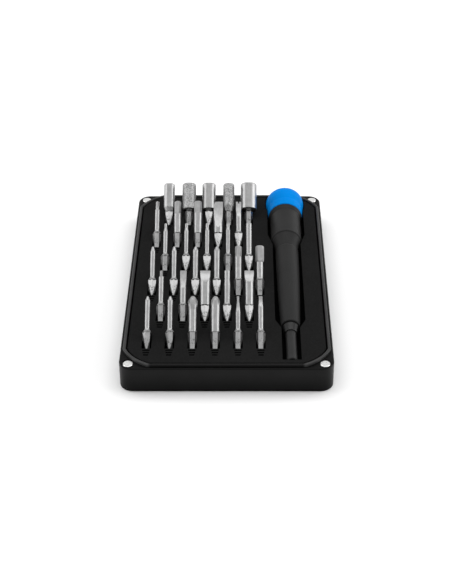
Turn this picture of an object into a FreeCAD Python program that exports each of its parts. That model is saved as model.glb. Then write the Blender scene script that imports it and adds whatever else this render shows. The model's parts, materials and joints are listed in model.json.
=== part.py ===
"""Precision screwdriver set: an open tray, a foam insert with 32 raked bits, and a swivel-cap driver.

Frame: X across the tray, Y from the front edge to the back edge, Z up.
The origin is the middle of the tray's underside. All lengths are millimetres, all angles degrees.
"""
import FreeCAD, Part
import math
import os

V = FreeCAD.Vector

# ---------------------------------------------------------------- driving dimensions
# Tray
TRAY_WIDTH = 105.0
TRAY_LENGTH = 166.0
SHELF_Z = 14.0              # top of the narrow shelf that the lid closes on
TRAY_CORNER_R = 6.7
TRAY_FLOOR = 1.5
TOP_EDGE_R = 0.7
BASE_EDGE_R = 0.6

# Liner: an upright frame that stands in the shell and holds the foam
SHELF_WIDTH = 1.3           # shelf left outside the liner along each side
LINER_WALL = 1.4
LINER_RISE = 1.4            # liner height above the shelf
LINER_EDGE_R = 0.45
CORNER_REACH = 14.5         # the liner leaves each side this far from the tray's corner
CORNER_SAG = 1.8            # outward bulge of the liner as it crosses a corner

# Foam insert and the sheet that bonds it to the floor
SHEET_T = 0.2
FOAM_GAP = 0.8              # gap between the foam and the liner's wall
FOAM_RISE = 1.0             # foam top above the shelf
FOAM_CHAMFER = 0.35
SHEET_MARGIN = 3.0          # the bond sheet stops this far inside the foam's edge

# Magnets in the corner pads
MAGNET_R = 2.5
MAGNET_T = 2.0
MAGNET_INSET = 4.5          # magnet centre from both outer edges
MAGNET_SINK = 0.15
MAGNET_CHAMFER = 0.2
POCKET_LIP_R = 3.0
POCKET_LIP_DEPTH = 0.3

# Bits: a 4 mm hex shank with a tip
BIT_LENGTH = 28.0
NUT_BIT_LENGTH = 26.0       # the bits with a socket head are a little shorter
HEX_ACROSS_FLATS = 4.0
SHANK_LENGTH = 9.3          # to the collar, the widest point of the shank
SHANK_FOOT_CHAMFER = 0.35
COLLAR_R = 2.35
COLLAR_RISE = 0.5           # height of the cone under the collar
COLLAR_ROOT = 1.0           # plain length of the turned body inside the hex
SHANK_CONE_ANGLE = 38.0     # half angle of the cone from the collar up to the shaft
BIT_RAKE = 39.0             # slope of each bit from the horizontal

# Slots in the foam
FIRST_ROW_Y = -67.9         # front edge of the first row's slots
ROW_PITCH = 23.3
FIRST_COLUMN_X = -39.7
COLUMN_PITCH = 11.3
SLOT_DEPTH = 5.35
SLOT_WIDTH = 4.8
AXIS_LIFT = 2.4             # bit's axis above the slot's ramp
SHANK_GAP = 0.15            # between the shank's end and the slot's end wall
HEAD_RELIEF = 0.4           # room in the foam around and in front of a wide socket head
MARK_DEPTH = 0.8
MARK_WIDTHS = [3.6, 3.2, 2.6]   # the pressed bars in front of a slot, from the slot outwards
MARK_LENGTH = 1.1
MARK_GAP = 0.8

# Recess for the driver
CAP_SIDE_GAP = 0.15
BARREL_SIDE_GAP = 1.8
GRIP_RECESS_HALF = 7.7
SHAFT_RECESS_HALF = 4.7
BARREL_FLOOR_GAP = 0.3
GRIP_FLOOR_GAP = 0.5
SHAFT_FLOOR_GAP = 1.6
REAR_FUNNEL = (38.5, 28.5)  # Y where the recess narrows from barrel to grip
FRONT_FUNNEL = (-43.4, -50.1)
RECESS_FRONT_Y = -76.8

# Driver
DRIVER_X = 32.0
DRIVER_Z = 12.85
HANDLE_REAR_Y = 59.6
BARREL_FRONT_Y = 33.0
WAIST_Y = 22.0
HANDLE_FRONT_Y = -47.4
FERRULE_FRONT_Y = -53.2
SHAFT_FRONT_Y = -76.45
CAP_REAR_Y = 79.2
BARREL_R = 8.5
BARREL_REAR_R = 9.55        # the barrel flares out to meet the cap
BARREL_FLARE_LENGTH = 3.2
SHOULDER = 0.6              # small steep step at the barrel's front
WAIST_R = 6.35
WAIST_LIP = 0.28            # the grip stands this much proud of the neck
HANDLE_TIP_R = 4.95
GRIP_BULGE = 0.35
NECK_SAG = 0.3
FERRULE_REAR_R = 4.3
FERRULE_FRONT_R = 3.45
SHAFT_R = 2.85
CAP_FRONT_R = 9.7
CAP_BAND_R = 10.1
CAP_BAND_LENGTH = 6.1
CAP_BAND_CROWN = 0.08       # the band bulges this much between its ends
CAP_STEP_LENGTH = 3.4       # the band rises to the dome over this length
CAP_STEP_R = 10.7
CAP_R = 10.9
CAP_WIDEST_Y = 73.0
CAP_REAR_ROUND = 4.4
CAP_END_FALL = 0.4          # the domed end rises this much from its edge to its middle
CAP_END_FLAT_R = 2.5
CAP_HEAD_SPACE = 0.6        # around the spindle's head
EDGE_BREAK = 0.35           # broken edges on the driver's turned parts
HEX_BORE_DEPTH = 12.0
HEX_BORE_CLEARANCE = 0.05
SOCKET_MAGNET_R = 1.9
SOCKET_MAGNET_T = 2.5
HEX_BORE_LEAD_IN = 0.5
TANG_LENGTH = 34.0
SPINDLE_R = 3.0
SPINDLE_HEAD_R = 4.6
SPINDLE_HEAD_T = 1.6
SPINDLE_HEAD_CHAMFER = 0.3
SPINDLE_ROOT = 14.0
RUNNING_GAP = 0.05
HUB_R = 7.2
HUB_LENGTH = 9.0
WASHER_R = 6.2
WASHER_T = 0.5
CAP_STAND_OFF = 0.35        # gap between the cap's front edge and the handle
TANG_START = 6.0            # round part of the shaft inside the handle
TANG_HALF_THICKNESS = 2.2

# ---------------------------------------------------------------- derived dimensions
LINER_TOP_Z = SHELF_Z + LINER_RISE
FOAM_BASE_Z = TRAY_FLOOR + SHEET_T
FOAM_TOP_Z = SHELF_Z + FOAM_RISE
HEX_CORNER_R = HEX_ACROSS_FLATS / math.sqrt(3.0)
RAKE = math.radians(BIT_RAKE)
ALONG_BIT = V(0, math.cos(RAKE), math.sin(RAKE))
ABOVE_BIT = V(0, -math.sin(RAKE), math.cos(RAKE))
FLAT_UP = 0.0
CORNER_UP = 30.0
CORNER_LEFT = 10.0          # a corner 20 degrees to the left of the top

# ---------------------------------------------------------------- the 32 bits
# (name, row, column, shank turn, tip kind, sizes)
BITS = [
    ("cross_000", 0, 0, CORNER_LEFT, "cross", {"shaft": 2.4, "point": 5.0}),
    ("cross_00", 0, 1, CORNER_LEFT, "cross", {"shaft": 2.6, "point": 5.0}),
    ("cross_1", 0, 2, FLAT_UP, "cross", {"shaft": 4.1, "head": 4.9, "point": 6.0}),
    ("cross_2", 0, 3, FLAT_UP, "cross", {"shaft": 4.5, "point": 5.5}),
    ("slotted_1_0", 0, 4, FLAT_UP, "blade", {"shaft": 2.5, "blade": 1.2, "taper": 8.5}),
    ("slotted_2_0", 0, 5, FLAT_UP, "blade", {"shaft": 2.6, "blade": 1.9, "taper": 6.0}),
    ("hex_1_3", 1, 0, FLAT_UP, "prism", {"shaft": 2.5, "flats": 1.3, "tip": 3.5}),
    ("slotted_3_0", 1, 1, FLAT_UP, "blade", {"shaft": 3.3, "blade": 3.3, "taper": 10.0}),
    ("slotted_5_0", 1, 2, CORNER_UP, "blade", {"shaft": 5.2, "blade": 5.2, "taper": 7.0}),
    ("star_10", 1, 3, CORNER_UP, "star", {"shaft": 3.3, "head": 2.7, "tip": 4.2, "cone": 3.2}),
    ("slotted_4_5", 1, 4, CORNER_UP, "blade", {"shaft": 4.4, "blade": 4.8, "taper": 7.0}),
    ("offset_cross_000", 2, 0, CORNER_UP, "cross", {"shaft": 2.45, "point": 6.5}),
    ("offset_cross_00", 2, 1, CORNER_UP, "cross", {"shaft": 2.55, "point": 6.0}),
    ("offset_cross_0", 2, 2, CORNER_UP, "cross", {"shaft": 2.8, "point": 5.0}),
    ("offset_cross_1", 2, 3, CORNER_UP, "cross", {"shaft": 3.1, "point": 5.0}),
    ("hex_3_0", 2, 4, FLAT_UP, "prism", {"shaft": 3.7, "flats": 3.0, "tip": 6.0}),
    ("hex_4_0", 2, 5, FLAT_UP, "prism", {"shaft": 3.6, "flats": 3.9, "tip": 9.0}),
    ("star_3", 3, 0, FLAT_UP, "star", {"shaft": 2.3, "head": 1.3, "tip": 2.5, "cone": 2.2}),
    ("star_4", 3, 1, CORNER_UP, "star", {"shaft": 2.3, "head": 1.5, "tip": 2.5, "cone": 2.0}),
    ("star_5", 3, 2, CORNER_UP, "star", {"shaft": 2.3, "head": 1.6, "tip": 2.5, "cone": 1.8}),
    ("star_6", 3, 3, FLAT_UP, "star", {"shaft": 2.3, "head": 1.7, "tip": 2.5, "cone": 1.4}),
    ("star_15", 3, 4, CORNER_UP, "star", {"shaft": 3.1, "head": 2.9, "tip": 3.5, "cone": 1.0}),
    ("triangle_2_3", 4, 0, FLAT_UP, "triangle", {"shaft": 2.5, "size": 2.1, "tip": 4.0}),
    ("hex_3_5", 4, 1, FLAT_UP, "prism", {"shaft": 3.95, "flats": 3.2, "tip": 7.5}),
    ("hex_4_5", 4, 2, FLAT_UP, "prism", {"shaft": 4.6, "flats": 3.7, "tip": 7.0}),
    ("opening_pick", 4, 3, CORNER_UP, "pick", {"shaft": 5.2, "blade": 5.2, "taper": 16.0}),
    ("fork_2_6", 4, 4, CORNER_UP, "fork", {"shaft": 3.0, "blade": 3.0, "taper": 9.5}),
    ("nut_driver_3_0", 5, 0, CORNER_UP, "nut", {"outer": 6.2, "flats": 3.0, "skirt": 2.4}),
    ("nut_driver_4_5", 5, 1, FLAT_UP, "nut", {"outer": 7.8, "flats": 4.5, "skirt": 0.0}),
    ("nut_driver_5_0", 5, 2, CORNER_UP, "nut", {"outer": 7.7, "flats": 5.0, "skirt": 0.0}),
    ("nut_driver_3_5", 5, 3, FLAT_UP, "nut", {"outer": 6.4, "flats": 3.5, "skirt": 3.2}),
    ("nut_driver_5_5", 5, 4, FLAT_UP, "nut", {"outer": 9.1, "flats": 5.5, "skirt": 0.0}),
]

# Tips
TIP_FLAT_T = 0.55           # thickness of a ground blade at its end
HOLLOW_GRIND = 0.30         # share of the grinding depth still left halfway down a blade
BLADE_EDGE = 0.15
FLUTE_FLOOR = 0.16          # cross-tip web, as a share of the tip's diameter
FLUTE_LENGTH = 4.6
PICK_CORNER = (2.9, 3.9)    # width and length of the corner ground off the opening pick
FORK_NOTCH = (0.8, 1.1)     # width and depth
PRISM_CHAMFER = 1.0
NECK_STEP = 0.3             # a tip's full section starts this far after its shaft ends
STAR_GROOVE = 0.26          # groove radius as a share of the star's radius
TRIANGLE_FLAT = 0.62        # flat's distance from the axis as a share of the corner radius
NUT_HEAD_START = 10.3
NUT_NECK_R = 1.95
NUT_BORE_DEPTH = 5.0
NUT_EDGE = 0.7
NUT_REAR_EDGE = 0.4
NUT_LEAD_IN = 0.75


# ---------------------------------------------------------------- helpers
def polygon_face(points):
    """Flat face from a closed loop of vectors."""
    return Part.Face(Part.makePolygon(points + [points[0]]))


def regular_prism(flats, sides, length, z=0.0, turn=0.0):
    """Prism along Z; flats is twice its inner radius. Turn 0 puts a corner on +X."""
    corner_r = flats / 2.0 / math.cos(math.pi / sides)
    angles = [math.radians(turn) + 2 * math.pi * i / sides for i in range(sides)]
    corners = [V(corner_r * math.cos(a), corner_r * math.sin(a), z) for a in angles]
    return polygon_face(corners).extrude(V(0, 0, length))


def revolved(profile):
    """Solid of revolution about Z from (radius, z) points; the ends are joined on the axis."""
    points = [V(0, 0, profile[0][1])]
    points += [V(r, 0, z) for r, z in profile if r > 0]
    points += [V(0, 0, profile[-1][1])]
    return polygon_face(points).revolve(V(0, 0, 0), V(0, 0, 1), 360)


def boxed(x0, x1, y0, y1, z0, z1):
    """Box between two corners."""
    return Part.makeBox(x1 - x0, y1 - y0, z1 - z0, V(x0, y0, z0))


def rounded_block(half_x, half_y, radius, z0, z1):
    """Upright block with round plan corners."""
    block = boxed(-half_x, half_x, -half_y, half_y, z0, z1)
    upright = [e for e in block.Edges if abs(e.Vertexes[0].Z - e.Vertexes[1].Z) > 1e-6]
    return block.makeFillet(radius, upright)


def cut_corner_block(half_x, half_y, reach_x, reach_y, sag, z0, z1):
    """Upright block whose plan is a rectangle with each corner crossed by a bulging arc."""
    root_half = math.sqrt(0.5)
    quadrant_mid = V((half_x + reach_x) / 2 + sag * root_half, (half_y + reach_y) / 2 + sag * root_half, z0)
    edges = []
    quadrants = [(1, 1), (-1, 1), (-1, -1), (1, -1)]
    ends = []
    for sx, sy in quadrants:
        on_side = V(sx * half_x, sy * reach_y, z0)
        on_end = V(sx * reach_x, sy * half_y, z0)
        middle = V(sx * quadrant_mid.x, sy * quadrant_mid.y, z0)
        first, last = (on_side, on_end) if sx * sy > 0 else (on_end, on_side)
        ends.append((first, middle, last))
    for i, (first, middle, last) in enumerate(ends):
        edges.append(Part.Arc(first, middle, last).toShape())
        edges.append(Part.LineSegment(last, ends[(i + 1) % 4][0]).toShape())
    return Part.Face(Part.Wire(edges)).extrude(V(0, 0, z1 - z0))


def liner_block(inset, z0, z1):
    """Block with the liner's plan, moved in by inset from the liner's outside."""
    half_x = TRAY_WIDTH / 2 - SHELF_WIDTH - inset
    half_y = TRAY_LENGTH / 2 - SHELF_WIDTH - inset
    # an arc and a side both moved in by the same amount meet a little nearer the corner
    slide = inset * math.tan(math.radians(22.5))
    reach_x = TRAY_WIDTH / 2 - CORNER_REACH - slide
    reach_y = TRAY_LENGTH / 2 - CORNER_REACH - slide
    return cut_corner_block(half_x, half_y, reach_x, reach_y, CORNER_SAG, z0, z1)


def magnet_centres():
    """Middle of each corner magnet, in plan."""
    x = TRAY_WIDTH / 2 - MAGNET_INSET
    y = TRAY_LENGTH / 2 - MAGNET_INSET
    return [(sx * x, sy * y) for sx in (-1, 1) for sy in (-1, 1)]


# ---------------------------------------------------------------- tray
def make_case_shell():
    shell = rounded_block(TRAY_WIDTH / 2, TRAY_LENGTH / 2, TRAY_CORNER_R, 0, SHELF_Z)
    top = [e for e in shell.Edges if all(abs(v.Z - SHELF_Z) < 1e-6 for v in e.Vertexes)]
    shell = shell.makeFillet(TOP_EDGE_R, top)
    base = [e for e in shell.Edges if all(abs(v.Z) < 1e-6 for v in e.Vertexes)]
    shell = shell.makeFillet(BASE_EDGE_R, base)
    shell = shell.cut(liner_block(0, TRAY_FLOOR, SHELF_Z + 1))
    for x, y in magnet_centres():
        floor_z = SHELF_Z - MAGNET_SINK - MAGNET_T
        shell = shell.cut(Part.makeCylinder(MAGNET_R, MAGNET_T + 1, V(x, y, floor_z)))
        lip_z = SHELF_Z - POCKET_LIP_DEPTH
        shell = shell.cut(Part.makeCylinder(POCKET_LIP_R, 1, V(x, y, lip_z)))
    return shell


def make_liner_frame():
    frame = liner_block(0, TRAY_FLOOR, LINER_TOP_Z)
    frame = frame.cut(liner_block(LINER_WALL, TRAY_FLOOR - 1, LINER_TOP_Z + 1))
    rim = [e for e in frame.Edges if all(abs(v.Z - LINER_TOP_Z) < 1e-6 for v in e.Vertexes)]
    return frame.makeFillet(LINER_EDGE_R, rim)


def make_corner_magnets():
    discs = []
    for x, y in magnet_centres():
        disc = Part.makeCylinder(MAGNET_R, MAGNET_T, V(x, y, SHELF_Z - MAGNET_SINK - MAGNET_T))
        discs.append(disc.makeChamfer(MAGNET_CHAMFER, [disc.Edges[0]]))
    return Part.makeCompound(discs)


# ---------------------------------------------------------------- bit places
def slot_place(row, column):
    """Front edge of a slot at the foam's top face; odd rows are shifted by half a pitch."""
    shift = COLUMN_PITCH / 2 if row % 2 else 0.0
    x = FIRST_COLUMN_X + column * COLUMN_PITCH + shift
    return V(x, FIRST_ROW_Y + row * ROW_PITCH, FOAM_TOP_Z)


def slot_corner(row, column):
    """Lowest line of a slot, where its end wall meets its ramp."""
    return slot_place(row, column) + V(0, SLOT_DEPTH * math.tan(RAKE), -SLOT_DEPTH)


def bit_placement(row, column):
    """Places a bit made along +Z, with -Y as its upper side, in its slot."""
    foot = slot_corner(row, column) + ABOVE_BIT * AXIS_LIFT + ALONG_BIT * SHANK_GAP
    return FreeCAD.Placement(foot, FreeCAD.Rotation(V(1, 0, 0), BIT_RAKE - 90.0))


# ---------------------------------------------------------------- foam
def slot_cutter(row, column):
    """Open pocket for a shank: a square end wall, and a ramp that runs out at the foam's top."""
    reach = 2 * SLOT_DEPTH
    left = slot_corner(row, column) - V(SLOT_WIDTH / 2, 0, 0)
    right = left + V(SLOT_WIDTH, 0, 0)
    wall = polygon_face([left, right, right + ABOVE_BIT * reach, left + ABOVE_BIT * reach])
    return wall.extrude(ALONG_BIT * reach)


def head_relief(row, column, sizes):
    """Shallow hollow in the foam under a socket head."""
    start = V(0, 0, NUT_HEAD_START - HEAD_RELIEF)
    hollow = Part.makeCylinder(sizes["outer"] / 2 + HEAD_RELIEF, BIT_LENGTH, start)
    hollow.Placement = bit_placement(row, column)
    return hollow


def size_marks(row, column):
    """Short pressed bars in front of a slot."""
    place = slot_place(row, column)
    y = place.y
    low = FOAM_TOP_Z - MARK_DEPTH
    bars = []
    for width in MARK_WIDTHS:
        y -= MARK_GAP + MARK_LENGTH
        left = place.x - width / 2
        bars.append(boxed(left, left + width, y, y + MARK_LENGTH, low, FOAM_TOP_Z + 1))
    return bars


def driver_recess():
    """Pocket under the driver: cap, barrel, grip and shaft each have their own width and depth."""
    top = FOAM_TOP_Z + 1
    cap_half = CAP_R + CAP_SIDE_GAP
    flare_front = HANDLE_REAR_Y - BARREL_FLARE_LENGTH - CAP_SIDE_GAP
    band_rear = HANDLE_REAR_Y + CAP_STAND_OFF + CAP_BAND_LENGTH
    barrel_half = BARREL_R + BARREL_SIDE_GAP
    barrel_floor = DRIVER_Z - BARREL_R - BARREL_FLOOR_GAP
    grip_floor = DRIVER_Z - WAIST_R - GRIP_FLOOR_GAP
    shaft_floor = DRIVER_Z - SHAFT_R - SHAFT_FLOOR_GAP
    through = FOAM_BASE_Z - 1
    barrel_end, grip_rear = REAR_FUNNEL
    grip_end, shaft_rear = FRONT_FUNNEL
    # (half width, half width, from y, to y, floor): a straight step or a funnel
    steps = [
        (cap_half, cap_half, band_rear, TRAY_LENGTH / 2, through),
        (barrel_half, barrel_half, flare_front, band_rear, through),
        (barrel_half, barrel_half, barrel_end, flare_front, barrel_floor),
        (GRIP_RECESS_HALF, barrel_half, grip_rear, barrel_end, barrel_floor),
        (GRIP_RECESS_HALF, GRIP_RECESS_HALF, WAIST_Y, grip_rear, barrel_floor),
        (GRIP_RECESS_HALF, GRIP_RECESS_HALF, grip_end, WAIST_Y, grip_floor),
        (SHAFT_RECESS_HALF, GRIP_RECESS_HALF, shaft_rear, grip_end, grip_floor),
        (SHAFT_RECESS_HALF, SHAFT_RECESS_HALF, RECESS_FRONT_Y, shaft_rear, shaft_floor),
    ]
    cutters = []
    for half0, half1, y0, y1, floor in steps:
        plan = [(-half0, y0), (half0, y0), (half1, y1), (-half1, y1)]
        face = polygon_face([V(DRIVER_X + x, y, floor) for x, y in plan])
        cutters.append(face.extrude(V(0, 0, top - floor)))
    return cutters


def make_foam_insert():
    foam = liner_block(LINER_WALL + FOAM_GAP, FOAM_BASE_Z, FOAM_TOP_Z)
    top = [e for e in foam.Edges if all(abs(v.Z - FOAM_TOP_Z) < 1e-6 for v in e.Vertexes)]
    foam = foam.makeChamfer(FOAM_CHAMFER, top)
    cutters = driver_recess()
    for name, row, column, turn, kind, sizes in BITS:
        cutters.append(slot_cutter(row, column))
        cutters += size_marks(row, column)
        if kind == "nut":
            cutters.append(head_relief(row, column, sizes))
    return foam.cut(cutters).removeSplitter()


def make_foam_bond_sheet():
    return liner_block(LINER_WALL + FOAM_GAP + SHEET_MARGIN, TRAY_FLOOR, FOAM_BASE_Z)


# ---------------------------------------------------------------- bits, made along +Z
def shank(turn):
    """Hex shank with a chamfered foot, up to the collar."""
    envelope = revolved([
        (HEX_CORNER_R - SHANK_FOOT_CHAMFER, 0),
        (HEX_CORNER_R, SHANK_FOOT_CHAMFER),
        (HEX_CORNER_R, SHANK_LENGTH),
    ])
    return envelope.common(regular_prism(HEX_ACROSS_FLATS, 6, SHANK_LENGTH, turn=turn))


def turned_body(shaft_r, profile):
    """Round collar and shaft above the shank; profile continues it to the tip."""
    under = HEX_ACROSS_FLATS / 2 - 0.05
    widest = max(COLLAR_R, shaft_r)
    cone = (widest - shaft_r) / math.tan(math.radians(SHANK_CONE_ANGLE))
    start = [
        (under, SHANK_LENGTH - COLLAR_RISE - COLLAR_ROOT),
        (under, SHANK_LENGTH - COLLAR_RISE),
        (widest, SHANK_LENGTH),
    ]
    if cone:
        # the cone eases into the shaft
        start += [
            (shaft_r + (widest - shaft_r) * 0.2, SHANK_LENGTH + cone * 0.75),
            (shaft_r, SHANK_LENGTH + cone * 1.2),
        ]
    return revolved(start + profile)


def cross_tip(sizes):
    shaft_r = sizes["shaft"] / 2
    head_r = sizes.get("head", sizes["shaft"]) / 2
    point_start = BIT_LENGTH - sizes["point"] * 0.45
    body = turned_body(shaft_r, [
        (shaft_r, BIT_LENGTH - sizes["point"] - 1.2),
        (head_r, BIT_LENGTH - sizes["point"] * 0.75),
        (head_r, point_start),
        (head_r * 0.45, BIT_LENGTH - 0.35),
        (head_r * 0.2, BIT_LENGTH),
    ])
    web = head_r * 2 * FLUTE_FLOOR
    run_out = BIT_LENGTH - FLUTE_LENGTH * max(0.8, head_r / 1.6)
    for quarter in range(4):
        # V-section flute, deepest at the tip
        groove = [
            V(web * 0.6, 0, BIT_LENGTH + 0.5),
            V(head_r + 0.6, 0, BIT_LENGTH + 0.5),
            V(head_r + 0.6, 0, run_out),
        ]
        wedge = polygon_face(groove)
        wedge = wedge.extrude(V(0, head_r * 0.75, 0))
        wedge.translate(V(0, -head_r * 0.375, 0))
        wedge.rotate(V(0, 0, 0), V(0, 0, 1), 45 + 90 * quarter)
        body = body.cut(wedge)
    return body


def ground_flats(width, taper, end_t, radius):
    """Two cutters that grind a round body down to a blade, hollow on each face."""
    cutters = []
    for sy in (-1, 1):
        start = V(-width, sy * (radius + 0.1), BIT_LENGTH - taper)
        middle = V(-width, sy * (end_t / 2 + (radius - end_t / 2) * HOLLOW_GRIND), BIT_LENGTH - taper * 0.5)
        end = V(-width, sy * end_t / 2, BIT_LENGTH + 0.001)
        outer_end = V(-width, sy * (radius + 2), BIT_LENGTH + 0.001)
        outer_start = V(-width, sy * (radius + 2), BIT_LENGTH - taper)
        edges = [
            Part.Arc(start, middle, end).toShape(),
            Part.LineSegment(end, outer_end).toShape(),
            Part.LineSegment(outer_end, outer_start).toShape(),
            Part.LineSegment(outer_start, start).toShape(),
        ]
        cutters.append(Part.Face(Part.Wire(edges)).extrude(V(2 * width, 0, 0)))
    return cutters


def blade_tip(sizes):
    shaft_r = sizes["shaft"] / 2
    half = sizes["blade"] / 2
    taper = sizes["taper"]
    body = turned_body(shaft_r, [
        (shaft_r, BIT_LENGTH - taper),
        (half, BIT_LENGTH - taper * 0.35 if half < shaft_r else BIT_LENGTH - taper * 0.8),
        (half, BIT_LENGTH - BLADE_EDGE),
        (half - BLADE_EDGE, BIT_LENGTH),
    ])
    widest = max(shaft_r, half)
    return body.cut(ground_flats(widest + 1, taper, TIP_FLAT_T, widest))


def prism_tip(sizes):
    shaft_r = sizes["shaft"] / 2
    inner_r = sizes["flats"] / 2
    corner_r = sizes["flats"] / math.sqrt(3.0)
    start = BIT_LENGTH - sizes["tip"]
    full = start + NECK_STEP
    cone = abs(shaft_r - inner_r) * 1.2 + 0.2
    body = turned_body(shaft_r, [(shaft_r, start), (inner_r - 0.02, start + cone)])
    envelope = revolved([
        (min(shaft_r, corner_r), full),
        (max(shaft_r, corner_r + 0.05), full + cone),
        (corner_r + PRISM_CHAMFER, BIT_LENGTH - PRISM_CHAMFER - NECK_STEP),
        (corner_r, BIT_LENGTH - NECK_STEP),
        (corner_r - NECK_STEP, BIT_LENGTH),
    ])
    tip = regular_prism(sizes["flats"], 6, sizes["tip"] - NECK_STEP, z=full)
    return body.fuse(tip.common(envelope))


def star_tip(sizes):
    shaft_r = sizes["shaft"] / 2
    head_r = sizes["head"] / 2
    start = BIT_LENGTH - sizes["tip"]
    body = turned_body(shaft_r, [
        (shaft_r, start - sizes["cone"]),
        (head_r, start),
        (head_r, BIT_LENGTH - 0.2),
        (head_r - 0.2, BIT_LENGTH),
    ])
    groove_r = head_r * STAR_GROOVE
    cutters = []
    for i in range(6):
        a = math.radians(60 * i + 30)
        centre = V((head_r + groove_r * 0.25) * math.cos(a), (head_r + groove_r * 0.25) * math.sin(a), start + 0.2)
        cutters.append(Part.makeCylinder(groove_r, sizes["tip"] + 1, centre))
    return body.cut(cutters)


def triangle_tip(sizes):
    shaft_r = sizes["shaft"] / 2
    start = BIT_LENGTH - sizes["tip"]
    neck_r = shaft_r - 0.35
    tip_r = sizes["size"] / 2
    body = turned_body(shaft_r, [
        (shaft_r, start - 1.0),
        (neck_r, start - 0.3),
        (neck_r, start + 0.3),
        (tip_r, start + 0.8),
        (tip_r, BIT_LENGTH),
    ])
    flats = []
    for i in range(3):
        slab = boxed(tip_r * TRIANGLE_FLAT, tip_r + 2, -3, 3, start + 0.9, BIT_LENGTH + 1)
        slab.rotate(V(0, 0, 0), V(0, 0, 1), 90 + 120 * i)
        flats.append(slab)
    return body.cut(flats)


def pick_tip(sizes):
    """Wide thin blade with one corner cut away."""
    left = -sizes["blade"] / 2 - 1
    width, length = PICK_CORNER
    top = BIT_LENGTH + 1
    corner = [V(left, -4, top), V(left + width, -4, top), V(left, -4, top - length)]
    return blade_tip(sizes).cut(polygon_face(corner).extrude(V(0, 8, 0)))


def fork_tip(sizes):
    """Blade with a notch between two prongs."""
    width, depth = FORK_NOTCH
    notch = boxed(-width / 2, width / 2, -4, 4, BIT_LENGTH - depth, BIT_LENGTH + 1)
    return blade_tip(sizes).cut(notch)


def nut_tip(sizes):
    """Socket head; a skirt is the cone that some heads have from the collar outwards."""
    outer_r = sizes["outer"] / 2
    if sizes["skirt"]:
        neck_r = COLLAR_R
        profile = [(outer_r, SHANK_LENGTH + sizes["skirt"])]
    else:
        neck_r = NUT_NECK_R
        profile = [
            (neck_r, NUT_HEAD_START),
            (outer_r - NUT_REAR_EDGE, NUT_HEAD_START),
            (outer_r, NUT_HEAD_START + NUT_REAR_EDGE),
        ]
    profile += [
        (outer_r, NUT_BIT_LENGTH - NUT_EDGE),
        (outer_r - NUT_EDGE * 0.3, NUT_BIT_LENGTH - NUT_EDGE * 0.3),
        (outer_r - NUT_EDGE, NUT_BIT_LENGTH),
    ]
    head = turned_body(neck_r, profile)
    bore_r = sizes["flats"] / 2
    bore = regular_prism(sizes["flats"], 6, NUT_BORE_DEPTH + 1, z=NUT_BIT_LENGTH - NUT_BORE_DEPTH)
    mouth = V(0, 0, NUT_BIT_LENGTH - NUT_LEAD_IN)
    lead_in = Part.makeCone(bore_r, bore_r + NUT_LEAD_IN, NUT_LEAD_IN, mouth)
    return head.cut([bore, lead_in])


TIP_MAKERS = {
    "cross": cross_tip,
    "blade": blade_tip,
    "prism": prism_tip,
    "star": star_tip,
    "triangle": triangle_tip,
    "pick": pick_tip,
    "fork": fork_tip,
    "nut": nut_tip,
}


def make_bit(row, column, turn, kind, sizes):
    bit = shank(turn).fuse(TIP_MAKERS[kind](sizes))
    solid = bit.Solids[0]
    solid.Placement = bit_placement(row, column)
    return solid


# ---------------------------------------------------------------- driver, made along +Z = world -Y
def along_driver(shape):
    """Turns a shape made along +Z, where z is the world's y, onto the driver's axis."""
    shape.Placement = FreeCAD.Placement(V(DRIVER_X, 0, DRIVER_Z), FreeCAD.Rotation(V(1, 0, 0), -90))
    return shape


def make_driver_handle():
    """Barrel, neck and long tapered grip, bored for the shaft's tang and the spindle."""
    neck_front = V(WAIST_R - WAIST_LIP, 0, WAIST_Y + 2 * WAIST_LIP)
    neck_rear = V(BARREL_R - SHOULDER, 0, BARREL_FRONT_Y - SHOULDER)
    p = [
        V(0, 0, HANDLE_FRONT_Y),
        V(HANDLE_TIP_R - EDGE_BREAK, 0, HANDLE_FRONT_Y),
        V(HANDLE_TIP_R, 0, HANDLE_FRONT_Y + EDGE_BREAK),
        V(WAIST_R, 0, WAIST_Y),
        neck_front,
        neck_rear,
        V(BARREL_R, 0, BARREL_FRONT_Y),
        V(BARREL_R, 0, HANDLE_REAR_Y - BARREL_FLARE_LENGTH),
        V(BARREL_REAR_R, 0, HANDLE_REAR_Y - EDGE_BREAK),
        V(BARREL_REAR_R - EDGE_BREAK, 0, HANDLE_REAR_Y),
        V(0, 0, HANDLE_REAR_Y),
    ]
    edges = [Part.LineSegment(p[i], p[(i + 1) % len(p)]).toShape() for i in range(len(p))]
    edges[2] = Part.Arc(p[2], (p[2] + p[3]) * 0.5 + V(GRIP_BULGE, 0, 0), p[3]).toShape()
    edges[4] = Part.Arc(p[4], (p[4] + p[5]) * 0.5 - V(NECK_SAG, 0, 0), p[5]).toShape()
    body = Part.Face(Part.Wire(edges)).revolve(V(0, 0, 0), V(0, 0, 1), 360)
    tang_bore = Part.makeCylinder(SHAFT_R, TANG_LENGTH, V(0, 0, HANDLE_FRONT_Y))
    tang_bore = tang_bore.cut(tang_flats())
    root_bore = Part.makeCylinder(SPINDLE_R, SPINDLE_ROOT, V(0, 0, HANDLE_REAR_Y - SPINDLE_ROOT))
    return along_driver(body.cut([tang_bore, root_bore]))


def tang_flats():
    """Two slabs that the tang's flats leave out, which stop the shaft from turning in the handle."""
    low = HANDLE_FRONT_Y + TANG_START
    high = HANDLE_FRONT_Y + TANG_LENGTH + 1
    wide = SHAFT_R + 1
    upper = boxed(-wide, wide, TANG_HALF_THICKNESS, wide, low, high)
    lower = boxed(-wide, wide, -wide, -TANG_HALF_THICKNESS, low, high)
    return [upper, lower]


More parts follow.
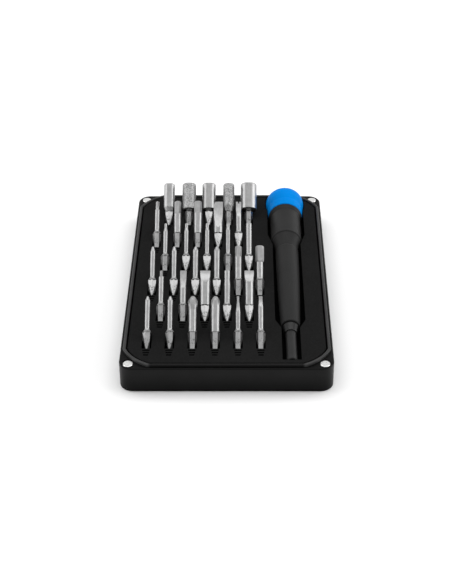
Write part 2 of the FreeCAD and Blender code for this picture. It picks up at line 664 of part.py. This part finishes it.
def make_driver_ferrule():
    """Conical ring pressed on the shaft against the handle's front face."""
    ring = revolved([
        (FERRULE_FRONT_R - EDGE_BREAK / 2, FERRULE_FRONT_Y),
        (FERRULE_FRONT_R, FERRULE_FRONT_Y + EDGE_BREAK),
        (FERRULE_REAR_R, HANDLE_FRONT_Y - 3 * EDGE_BREAK),
        (FERRULE_REAR_R - EDGE_BREAK, HANDLE_FRONT_Y - 2 * EDGE_BREAK),
        (FERRULE_REAR_R - EDGE_BREAK, HANDLE_FRONT_Y),
    ])
    length = HANDLE_FRONT_Y - FERRULE_FRONT_Y + 2
    return along_driver(ring.cut(Part.makeCylinder(SHAFT_R, length, V(0, 0, FERRULE_FRONT_Y - 1))))


def make_bit_holder_shaft():
    """Round shaft with a 4 mm hex bore at its front and a flatted tang in the handle."""
    rear = HANDLE_FRONT_Y + TANG_LENGTH
    rod = revolved([
        (SHAFT_R - EDGE_BREAK, SHAFT_FRONT_Y),
        (SHAFT_R, SHAFT_FRONT_Y + EDGE_BREAK),
        (SHAFT_R, rear),
    ])
    rod = rod.cut(tang_flats())
    bore_end = SHAFT_FRONT_Y + HEX_BORE_DEPTH
    across = HEX_ACROSS_FLATS + 2 * HEX_BORE_CLEARANCE
    bore = regular_prism(across, 6, HEX_BORE_DEPTH + 1, z=SHAFT_FRONT_Y - 1, turn=CORNER_UP)
    mouth_r = across / 2 + HEX_BORE_LEAD_IN
    lead_in = Part.makeCone(mouth_r, across / 2, HEX_BORE_LEAD_IN, V(0, 0, SHAFT_FRONT_Y))
    magnet_bore = Part.makeCylinder(SOCKET_MAGNET_R, SOCKET_MAGNET_T, V(0, 0, bore_end))
    return along_driver(rod.cut([bore, lead_in, magnet_bore]))


def make_holder_magnet():
    """Disc at the bottom of the hex bore that holds a bit in."""
    start = V(0, 0, SHAFT_FRONT_Y + HEX_BORE_DEPTH)
    return along_driver(Part.makeCylinder(SOCKET_MAGNET_R, SOCKET_MAGNET_T, start))


def make_cap_spindle():
    """Headed pin pressed into the handle's rear; the cap's hub turns on it."""
    head_y = HANDLE_REAR_Y + WASHER_T + HUB_LENGTH + 2 * RUNNING_GAP
    return along_driver(revolved([
        (SPINDLE_R, HANDLE_REAR_Y - SPINDLE_ROOT),
        (SPINDLE_R, head_y),
        (SPINDLE_HEAD_R, head_y),
        (SPINDLE_HEAD_R, head_y + SPINDLE_HEAD_T - SPINDLE_HEAD_CHAMFER),
        (SPINDLE_HEAD_R - SPINDLE_HEAD_CHAMFER, head_y + SPINDLE_HEAD_T),
    ]))


def make_thrust_washer():
    disc = Part.makeCylinder(WASHER_R, WASHER_T, V(0, 0, HANDLE_REAR_Y))
    return along_driver(disc.cut(Part.makeCylinder(SPINDLE_R, WASHER_T, V(0, 0, HANDLE_REAR_Y))))


def hub_start():
    return HANDLE_REAR_Y + WASHER_T + RUNNING_GAP


def make_swivel_hub():
    """Low-friction bush that the cap is pressed on."""
    bush = Part.makeCylinder(HUB_R, HUB_LENGTH, V(0, 0, hub_start()))
    bore = Part.makeCylinder(SPINDLE_R + RUNNING_GAP, HUB_LENGTH, V(0, 0, hub_start()))
    return along_driver(bush.cut(bore))


def make_swivel_cap():
    """Domed cap: a front band, a step up to the wider dome, and a rounded rear end."""
    front = HANDLE_REAR_Y + CAP_STAND_OFF
    band_rear = front + CAP_BAND_LENGTH
    p = [
        V(0, 0, front),
        V(CAP_FRONT_R - EDGE_BREAK, 0, front),
        V(CAP_FRONT_R, 0, front + EDGE_BREAK),
        V(CAP_BAND_R, 0, band_rear),
        V(CAP_STEP_R, 0, band_rear + CAP_STEP_LENGTH),
        V(CAP_R, 0, CAP_WIDEST_Y),
        V(CAP_R - 0.2, 0, CAP_REAR_Y - CAP_REAR_ROUND),
        V(CAP_R - CAP_REAR_ROUND, 0, CAP_REAR_Y - CAP_END_FALL),
        V(CAP_END_FLAT_R, 0, CAP_REAR_Y),
        V(0, 0, CAP_REAR_Y),
    ]
    edges = [Part.LineSegment(p[i], p[(i + 1) % len(p)]).toShape() for i in range(len(p))]
    edges[2] = Part.Arc(p[2], (p[2] + p[3]) * 0.5 + V(CAP_BAND_CROWN, 0, 0), p[3]).toShape()
    corner = V(CAP_R - CAP_REAR_ROUND * 0.32, 0, CAP_REAR_Y - CAP_REAR_ROUND * 0.38)
    edges[6] = Part.Arc(p[6], corner, p[7]).toShape()
    body = Part.Face(Part.Wire(edges)).revolve(V(0, 0, 0), V(0, 0, 1), 360)
    hub_end = hub_start() + HUB_LENGTH
    hub_pocket = Part.makeCylinder(HUB_R, hub_end - front + 1, V(0, 0, front - 1))
    head_r = SPINDLE_HEAD_R + CAP_HEAD_SPACE
    head_pocket = Part.makeCylinder(head_r, SPINDLE_HEAD_T + CAP_HEAD_SPACE, V(0, 0, hub_end))
    return along_driver(body.cut([hub_pocket, head_pocket]))


# ---------------------------------------------------------------- all nodes
def make_nodes():
    nodes = {
        "case_shell": make_case_shell(),
        "liner_frame": make_liner_frame(),
        "foam_insert": make_foam_insert(),
        "foam_bond_sheet": make_foam_bond_sheet(),
        "corner_magnets": make_corner_magnets(),
        "driver_handle": make_driver_handle(),
        "driver_ferrule": make_driver_ferrule(),
        "bit_holder_shaft": make_bit_holder_shaft(),
        "holder_magnet": make_holder_magnet(),
        "cap_spindle": make_cap_spindle(),
        "thrust_washer": make_thrust_washer(),
        "swivel_hub": make_swivel_hub(),
        "swivel_cap": make_swivel_cap(),
    }
    for name, row, column, turn, kind, sizes in BITS:
        nodes["bit_" + name] = make_bit(row, column, turn, kind, sizes)
    return nodes


def main():
    os.makedirs("parts", exist_ok=True)
    for name, shape in make_nodes().items():
        shape.exportStep(os.path.join("parts", name + ".step"))
        print(name, len(shape.Solids), "solid(s)", "valid" if shape.isValid() else "NOT VALID",
              round(shape.Volume, 2), "mm3")


main()
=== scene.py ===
"""Looks of the precision screwdriver set: materials, light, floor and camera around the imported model.

Frame: metres, X across the tray, Y from the front edge to the back edge, Z up, origin under the tray's
middle.
"""
import json
import math

import bpy
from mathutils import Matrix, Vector


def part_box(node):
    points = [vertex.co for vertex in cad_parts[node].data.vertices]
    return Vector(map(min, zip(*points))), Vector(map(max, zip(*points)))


MM = 0.001

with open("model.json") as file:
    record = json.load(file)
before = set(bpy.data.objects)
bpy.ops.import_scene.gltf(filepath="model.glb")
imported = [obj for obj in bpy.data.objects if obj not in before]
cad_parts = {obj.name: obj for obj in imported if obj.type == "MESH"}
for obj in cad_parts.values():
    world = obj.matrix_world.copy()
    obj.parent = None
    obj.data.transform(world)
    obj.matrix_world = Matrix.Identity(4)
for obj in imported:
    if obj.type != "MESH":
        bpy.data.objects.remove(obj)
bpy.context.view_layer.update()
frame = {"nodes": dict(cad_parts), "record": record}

# The bits' slope, from the way the first bit pulls out
BIT_RAKE = next(math.asin(joint["axis"][2]) for joint in frame["record"]["behaviour"]["joints"]
                if joint["name"].endswith("_pull"))

# Heights that the materials use
FOAM_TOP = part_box("foam_insert")[1][2]
ETCH_LOW = FOAM_TOP - 0.7 * MM
ETCH_HIGH = FOAM_TOP + 2.1 * MM
ETCH_EDGE = 0.6 * MM
SHELF_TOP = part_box("case_shell")[1][2]
# painted shade in the foam's slots
SLOT_SHADE_DEPTH = 0.9 * MM          # the foam's cut faces are fully dark this far below its top

# The liner's front runs straight this far to each side of the middle
FRONT_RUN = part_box("case_shell")[1][0] - 14.5 * MM


def middle_x(node):
    """Middle of a node across the tray."""
    return sum(run_shade_sides[0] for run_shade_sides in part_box(node)) / 2


# The bits stand on columns half a pitch apart, and these two bits stand STEPS_APART columns apart
STEPS_APART = 7
FIRST_COLUMN = middle_x("bit_star_3")
HALF_PITCH = abs(middle_x("bit_hex_3_0") - FIRST_COLUMN) / STEPS_APART

# Bits whose shanks stand corner-up, the height of such a shank's top edge at its foot, and how far
# to each side it is lit for each metre above that
RIDGED_BITS = ("cross_000", "cross_00", "slotted_5_0", "star_10", "slotted_4_5", "offset_cross_000",
               "offset_cross_00", "offset_cross_0", "offset_cross_1", "star_4", "star_5", "star_15",
               "opening_pick", "fork_2_6", "nut_driver_3_0", "nut_driver_5_0")
FOOT_RIDGE = FOAM_TOP - 1.9 * MM
LIT_SPREAD = 0.46

# Bits with cast, speckled heads
ROUGH_BITS = ("nut_driver_3_5", "nut_driver_4_5")

# Camera: straight along the tray, a little right of its middle, looking down
CAMERA_PLACE = Vector((8.24, -595.5, 408.6)) * MM
CAMERA_PITCH = math.radians(34.3)
CAMERA_LENS = 82.4
CAMERA_SHIFT_X = -0.030
SENSOR_WIDTH = 36.0

# Floor and lights
LIGHT_TARGET = Vector((0, 0, 15)) * MM
FRONT_SKY = [(0.0, 0.72), (0.60, 0.72), (0.85, 1.05), (1.0, 1.05)]    # (height of a direction, grey)
BACK_SKY = [(0.0, 1.15), (0.45, 0.80), (0.80, 0.28), (1.0, 0.28)]
SKY_BLEND = (-0.25, 0.35)     # a direction's Y where the front sky ends and where the back sky is full
FLOOR_HALF = 8.0
FLOOR_DROP = 0.1 * MM         # the floor lies this far under the tray


# ---------------------------------------------------------------- node helpers
BEVEL_SAMPLES = 4
OPEN_SKY_SAMPLES = 8


class Shader:
    """One material's node tree, with short calls for the nodes used here."""

    def __init__(self, name, **settings):
        self.material = bpy.data.materials.new(name)
        self.material.use_nodes = True
        self.tree = self.material.node_tree
        self.bsdf = self.tree.nodes["Principled BSDF"]
        for socket, value in settings.items():
            self.bsdf.inputs[socket.replace("_", " ")].default_value = value

    def node(self, kind, links=None, values=None, **attributes):
        made = self.tree.nodes.new("ShaderNode" + kind)
        for key, value in attributes.items():
            setattr(made, key, value)
        for key, value in (values or {}).items():
            made.inputs[key].default_value = value
        for key, source in (links or {}).items():
            self.tree.links.new(source, made.inputs[key])
        return made

    def place(self, turn=(0, 0, 0), scale=(1, 1, 1)):
        """Position on the object, turned and then scaled."""
        coords = self.node("TexCoord").outputs["Object"]
        turned = self.node("Mapping", {"Vector": coords}, {"Rotation": turn, "Scale": (1, 1, 1)})
        return self.node("Mapping", {"Vector": turned.outputs[0]}, {"Scale": scale}).outputs[0]

    def noise(self, vector, scale, detail=2.0, roughness=0.5):
        values = {"Scale": scale, "Detail": detail, "Roughness": roughness}
        return self.node("TexNoise", {"Vector": vector}, values).outputs["Fac"]

    def cells(self, vector, scale):
        made = self.node("TexVoronoi", {"Vector": vector}, {"Scale": scale})
        return made.outputs["Distance"]

    def ramp(self, source, low, high, from_low=0.0, from_high=1.0):
        """Source mapped to low..high as it goes from from_low to from_high, and held at the ends."""
        values = {"From Min": from_low, "From Max": from_high, "To Min": low, "To Max": high}
        return self.node("MapRange", {"Value": source}, values).outputs["Result"]

    def math(self, operation, first, second=0.0):
        """Result of a maths node on numbers or sockets."""
        made = self.node("Math", operation=operation)
        for index, item in enumerate((first, second)):
            if isinstance(item, (int, float)):
                made.inputs[index].default_value = item
            else:
                self.tree.links.new(item, made.inputs[index])
        return made.outputs[0]

    def mix(self, factor, first, second):
        """Colour between two fixed colours by factor."""
        made = self.node("Mix", {"Factor": factor}, data_type="RGBA")
        made.inputs["A"].default_value = (*first, 1)
        made.inputs["B"].default_value = (*second, 1)
        return made.outputs["Result"]

    def axis(self, letter):
        """Position along X, Y or Z on the object, in metres; Z is the height above the tray's underside."""
        coords = self.node("TexCoord").outputs["Object"]
        return self.node("SeparateXYZ", {"Vector": coords}).outputs[letter]

    def as_grey(self, value):
        """Neutral colour from a number."""
        return self.node("CombineColor", {"Red": value, "Green": value, "Blue": value}).outputs["Color"]

    def bump(self, height, distance, strength=1.0, normal=None):
        """Normal with relief by height, distance metres deep, on top of another normal if given."""
        links = {"Height": height}
        if normal is not None:
            links["Normal"] = normal
        return self.node("Bump", links, {"Distance": distance, "Strength": strength}).outputs["Normal"]

    def rounded(self, radius):
        """Normal that catches light along sharp edges."""
        return self.node("Bevel", values={"Radius": radius}, samples=BEVEL_SAMPLES).outputs["Normal"]

    def open_sky(self, reach, low, high, from_low, from_high):
        """Ambient-occlusion factor for painted shade: low in tight places, high in the open."""
        values = {"Distance": reach}
        made = self.node("AmbientOcclusion", values=values, samples=OPEN_SKY_SAMPLES)
        return self.ramp(made.outputs["AO"], low, high, from_low, from_high)

    def connect(self, socket, source):
        self.tree.links.new(source, self.bsdf.inputs[socket])


# ---------------------------------------------------------------- materials
def grey(value):
    return (value, value, value)


def case_plastic():
    """Black moulding, with painted shade: darker towards its foot, and dark on the shelf where the liner
    would shade it.
    """
    s = Shader("case_plastic", Specular_IOR_Level=0.08)
    grain = s.noise(s.place(), 2600, 3)
    cloud = s.noise(s.place(), 60, 4)
    height = s.axis("Z")
    # painted shade: the moulding is darker towards its foot and dark on the shelf top
    foot_shade = s.ramp(height, 0.0012, 0.0088, 0.0, 10.5 * MM)
    shelf_shade = s.ramp(height, 1.0, 0.30, SHELF_TOP - 0.8 * MM, SHELF_TOP - 0.2 * MM)
    tone = s.math("MULTIPLY", s.math("MULTIPLY", foot_shade, shelf_shade), s.ramp(cloud, 0.85, 1.15, 0.3, 0.7))
    s.connect("Base Color", s.as_grey(tone))
    s.connect("Roughness", s.ramp(cloud, 0.30, 0.38))
    s.connect("Normal", s.bump(grain, 0.00002, 0.5, s.rounded(0.0002)))
    return s.material


def liner_plastic():
    """Matt dark grey, with painted shade that makes it near black along the straight run at the front."""
    s = Shader("liner_plastic", Specular_IOR_Level=0.12)
    grain = s.noise(s.place(), 3200, 3)
    cloud = s.noise(s.place(), 90, 3)
    off_middle = s.math("ABSOLUTE", s.axis("X"))
    # painted shade: near black along the liner's front straight run, full tone at the corners and towards
    # the back
    run_shade_sides = s.ramp(off_middle, 0.05, 1.0, FRONT_RUN - MM, FRONT_RUN + 0.5 * MM)
    run_shade_behind = s.ramp(s.axis("Y"), 0.05, 1.0, -10 * MM, 10 * MM)
    tone = s.math("MULTIPLY", s.ramp(cloud, 0.028, 0.040, 0.3, 0.7), s.math("MAXIMUM", run_shade_sides, run_shade_behind))
    s.connect("Base Color", s.as_grey(tone))
    s.connect("Roughness", s.ramp(grain, 0.30, 0.40))
    s.connect("Normal", s.bump(grain, 0.00002, 0.4))
    return s.material


def foam():
    """Closed-cell foam: fine pores and speckle, with painted shade that darkens its cut faces below the
    top.
    """
    s = Shader("foam", Roughness=0.95, Specular_IOR_Level=0.05)
    cells = s.cells(s.place(), 2600)
    coarse = s.noise(s.place(), 900, 4, 0.65)
    cloud = s.noise(s.place(), 45, 3)
    tone = s.math("ADD", s.math("MULTIPLY", coarse, 0.65), s.math("MULTIPLY", cloud, 0.35))
    # painted shade: the slot walls darken with depth below the foam's top
    slot_shade = s.ramp(s.axis("Z"), 0.22, 1.0, FOAM_TOP - SLOT_SHADE_DEPTH, FOAM_TOP - SLOT_SHADE_DEPTH / 3)
    value = s.math("MULTIPLY", s.ramp(tone, 0.0070, 0.0114, 0.3, 0.7), slot_shade)
    s.connect("Base Color", s.as_grey(value))
    first = s.bump(cells, 0.00012, 0.5)
    s.connect("Normal", s.bump(coarse, 0.00035, 0.35, first))
    return s.material


def bond_sheet():
    s = Shader("bond_sheet", Roughness=0.6)
    cloud = s.noise(s.place(), 300, 3)
    s.connect("Base Color", s.mix(cloud, grey(0.02), grey(0.035)))
    return s.material


def nickel():
    s = Shader("nickel", Metallic=1.0, Specular_IOR_Level=0.5)
    cloud = s.noise(s.place(), 900, 3)
    s.connect("Base Color", s.mix(cloud, (0.90, 0.90, 0.89), (0.98, 0.98, 0.97)))
    s.connect("Roughness", s.ramp(cloud, 0.22, 0.36))
    s.connect("Normal", s.bump(cloud, 0.00003, 0.3, s.rounded(0.00015)))
    return s.material


def flank_shade(s):
    """Painted shade: factor that darkens a shank's flanks towards its foot, deep in the slot."""
    steps = s.math("DIVIDE", s.math("SUBTRACT", s.axis("X"), FIRST_COLUMN), HALF_PITCH)
    # 0.5 puts the nearest column in the middle of a step, and 10 keeps the steps above zero
    within = s.math("SUBTRACT", s.math("FRACT", s.math("ADD", steps, 10.5)), 0.5)
    off_axis = s.math("MULTIPLY", s.math("ABSOLUTE", within), HALF_PITCH)
    lit_half = s.math("MULTIPLY", s.math("SUBTRACT", s.axis("Z"), FOOT_RIDGE), LIT_SPREAD)
    return s.ramp(s.math("SUBTRACT", off_axis, lit_half), 1.0, 0.07, -0.15 * MM, 0.35 * MM)


def etched_band(s):
    """Factor that is 1 in the spots of the etched band, where a bit leaves the foam."""
    spots = s.noise(s.place(), 1500, 2, 0.7)
    above = s.ramp(s.axis("Z"), 0.0, 1.0, ETCH_LOW, ETCH_LOW + ETCH_EDGE)
    below = s.ramp(s.axis("Z"), 1.0, 0.0, ETCH_HIGH - ETCH_EDGE, ETCH_HIGH)
    return s.math("MULTIPLY", s.math("MULTIPLY", above, below), s.ramp(spots, 0.0, 1.0, 0.54, 0.60))


def bit_steel(name="bit_steel", rough=0.0, ridged=False):
    """Satin steel: grinding lines along the bit, faint turning rings, duller patches, an etched band, and
    painted shade in tight places.

    rough is the depth of cast speckle, 0 for none; ridged is for a shank that stands corner-up, which also
    gets painted shade on its flanks.
    """
    s = Shader(name, Metallic=1.0)
    # lines run along the bit: little change along it, quick change across it
    along = s.noise(s.place((-BIT_RAKE, 0, 0), (1, 0.04, 1)), 5200, 2)
    rings = s.noise(s.place((-BIT_RAKE, 0, 0), (0.05, 1, 0.05)), 2600, 2)
    patch = s.noise(s.place(), 420, 4, 0.6)
    tone = s.math("ADD", s.math("MULTIPLY", along, 0.5), s.math("MULTIPLY", patch, 0.5))
    mark = etched_band(s)
    base = s.ramp(tone, 0.25, 0.40, 0.3, 0.7)
    if rough:
        cast = s.noise(s.place(), 1500, 3, 0.7)
        base = s.math("MULTIPLY", base, s.ramp(cast, 0.45, 1.15, 0.40, 0.56))
    # painted shade: a shank that stands flat-up is painted brighter in its slot than one that stands
    # corner-up
    shade = s.open_sky(5 * MM, 0.12 if ridged else 0.65, 1.0, 0.22, 0.50)
    if ridged:
        shade = s.math("MULTIPLY", shade, flank_shade(s))
    tint = s.math("MULTIPLY", s.math("MULTIPLY", base, shade), s.ramp(mark, 1.0, 0.35))
    s.connect("Base Color", s.as_grey(tint))
    s.connect("Roughness", s.math("ADD", s.ramp(patch, 0.26, 0.42), s.math("MULTIPLY", mark, 0.25)))
    lines = s.bump(along, 0.00004, 0.35, s.rounded(0.00012))
    turned = s.bump(rings, 0.00003, 0.25, lines)
    if rough:
        turned = s.bump(cast, 0.00035, rough, turned)
    s.connect("Normal", turned)
    return s.material


def handle_black():
    s = Shader("handle_black", Specular_IOR_Level=0.13)
    grain = s.noise(s.place(), 3400, 3)
    cloud = s.noise(s.place(), 80, 3)
    s.connect("Base Color", s.mix(cloud, grey(0.0105), grey(0.0150)))
    s.connect("Roughness", s.ramp(grain, 0.40, 0.54))
    s.connect("Normal", s.bump(grain, 0.00005, 0.5, s.rounded(0.0003)))
    return s.material


def ferrule_grey():
    s = Shader("ferrule_grey", Metallic=0.85)
    rings = s.noise(s.place((0, 0, 0), (0.03, 1, 0.03)), 4000, 2)
    s.connect("Base Color", s.mix(rings, grey(0.018), grey(0.033)))
    s.connect("Roughness", s.ramp(rings, 0.28, 0.42))
    s.connect("Normal", s.bump(rings, 0.00003, 0.4, s.rounded(0.0002)))
    return s.material


def shaft_black():
    s = Shader("shaft_black", Metallic=0.3, Specular_IOR_Level=0.28)
    rings = s.noise(s.place((0, 0, 0), (0.05, 1, 0.05)), 3000, 2)
    cloud = s.noise(s.place(), 300, 3)
    s.connect("Base Color", s.mix(cloud, grey(0.010), grey(0.017)))
    s.connect("Roughness", s.ramp(cloud, 0.34, 0.46))
    s.connect("Normal", s.bump(rings, 0.00003, 0.35))
    return s.material


def plain_steel():
    s = Shader("plain_steel", Metallic=1.0)
    rings = s.noise(s.place((0, 0, 0), (0.05, 1, 0.05)), 3000, 2)
    s.connect("Base Color", s.mix(rings, (0.45, 0.45, 0.46), (0.6, 0.6, 0.61)))
    s.connect("Roughness", s.ramp(rings, 0.25, 0.4))
    return s.material


def hub_plastic():
    s = Shader("hub_plastic", Roughness=0.5)
    cloud = s.noise(s.place(), 400, 3)
    s.connect("Base Color", s.mix(cloud, (0.66, 0.65, 0.60), (0.76, 0.75, 0.70)))
    return s.material


def cap_blue():
    s = Shader("cap_blue", IOR=1.06)
    grain = s.noise(s.place(), 3000, 3)
    cloud = s.noise(s.place(), 120, 3)
    s.connect("Base Color", s.mix(cloud, (0.000, 0.180, 0.560), (0.001, 0.205, 0.640)))
    s.connect("Roughness", s.ramp(grain, 0.32, 0.42))
    s.connect("Normal", s.bump(grain, 0.00003, 0.4, s.rounded(0.0003)))
    return s.material


def paint_nodes():
    """One material for each node: its slot's in the record, or its own for the rough and ridged bits."""
    makers = {
        "case_plastic": case_plastic, "liner_plastic": liner_plastic, "foam": foam,
        "bond_sheet": bond_sheet, "nickel": nickel, "handle_black": handle_black,
        "ferrule_grey": ferrule_grey, "shaft_black": shaft_black, "plain_steel": plain_steel,
        "hub_plastic": hub_plastic, "cap_blue": cap_blue, "bit_steel": bit_steel,
    }
    made = {slot: maker() for slot, maker in makers.items()}
    rough = bit_steel("bit_steel_rough", rough=0.7)
    ridged = bit_steel("bit_steel_ridged", ridged=True)
    special = {"bit_" + name: rough for name in ROUGH_BITS}
    special.update({"bit_" + name: ridged for name in RIDGED_BITS})
    for part in frame["record"]["subparts"]:
        node = frame["nodes"][part["node"]]
        node.data.materials.clear()
        node.data.materials.append(special.get(part["node"], made[part["material_slot"]]))


# ---------------------------------------------------------------- floor, light and camera
def add_floor():
    """Plain pale floor; it is staging, not part of the object."""
    mesh = bpy.data.meshes.new("floor")
    half = FLOOR_HALF
    corners = [(-half, -half, 0), (half, -half, 0), (half, half, 0), (-half, half, 0)]
    mesh.from_pydata(corners, [], [(0, 1, 2, 3)])
    floor = bpy.data.objects.new("floor", mesh)
    bpy.context.scene.collection.objects.link(floor)
    s = Shader("floor", Roughness=0.9, Specular_IOR_Level=0.1)
    s.bsdf.inputs["Base Color"].default_value = (0.88, 0.88, 0.88, 1)
    mesh.materials.append(s.material)
    floor.location.z = -FLOOR_DROP


def add_area_light(name, place, size, power):
    """Rectangular light at place, aimed at LIGHT_TARGET."""
    light = bpy.data.lights.new(name, "AREA")
    light.shape = "RECTANGLE"
    light.size, light.size_y = size
    light.energy = power
    lamp = bpy.data.objects.new(name, light)
    bpy.context.scene.collection.objects.link(lamp)
    lamp.location = place
    lamp.rotation_euler = (LIGHT_TARGET - Vector(place)).to_track_quat("-Z", "Y").to_euler()


def grey_by_height(tree, height, stops):
    """Grey colour along the height of a direction, from (height, value) stops."""
    made = tree.nodes.new("ShaderNodeValToRGB")
    elements = made.color_ramp.elements
    while len(elements) < len(stops):
        elements.new(1.0)
    for element, (place, value) in zip(elements, stops):
        element.position = place
        element.color = (value, value, value, 1)
    tree.links.new(height, made.inputs["Fac"])
    return made.outputs["Color"]


def studio_world():
    """Pale surround: behind, brightest at the horizon and dim high up; in front, brighter high up."""
    world = bpy.data.worlds.new("studio")
    world.use_nodes = True
    tree = world.node_tree
    coords = tree.nodes.new("ShaderNodeTexCoord")
    split = tree.nodes.new("ShaderNodeSeparateXYZ")
    tree.links.new(coords.outputs["Generated"], split.inputs["Vector"])
    behind = tree.nodes.new("ShaderNodeMapRange")
    behind.inputs["From Min"].default_value = SKY_BLEND[0]
    behind.inputs["From Max"].default_value = SKY_BLEND[1]
    tree.links.new(split.outputs["Y"], behind.inputs["Value"])
    front_sky = grey_by_height(tree, split.outputs["Z"], FRONT_SKY)
    back_sky = grey_by_height(tree, split.outputs["Z"], BACK_SKY)
    blend = tree.nodes.new("ShaderNodeMix")
    blend.data_type = "RGBA"
    tree.links.new(behind.outputs["Result"], blend.inputs["Factor"])
    tree.links.new(front_sky, blend.inputs["A"])
    tree.links.new(back_sky, blend.inputs["B"])
    background = tree.nodes["Background"]
    tree.links.new(blend.outputs["Result"], background.inputs["Color"])
    bpy.context.scene.world = world


def add_light():
    studio_world()
    add_area_light("top_softbox", (0.0, 0.84, 2.6), (3.6, 1.8), 44)
    add_area_light("left_softbox", (-3.3, 0.3, 1.4), (2.7, 2.4), 38)
    add_area_light("right_softbox", (3.3, 0.3, 1.4), (2.7, 2.4), 50)


def add_camera():
    data = bpy.data.cameras.new("camera")
    data.lens = CAMERA_LENS
    data.sensor_width = SENSOR_WIDTH
    data.shift_x = CAMERA_SHIFT_X
    data.clip_start = 0.01
    camera = bpy.data.objects.new("camera", data)
    bpy.context.scene.collection.objects.link(camera)
    camera.location = CAMERA_PLACE
    camera.rotation_euler = (math.radians(90) - CAMERA_PITCH, 0, 0)
    bpy.context.scene.camera = camera


paint_nodes()
add_floor()
add_light()
add_camera()
bpy.context.scene.view_settings.view_transform = "Standard"
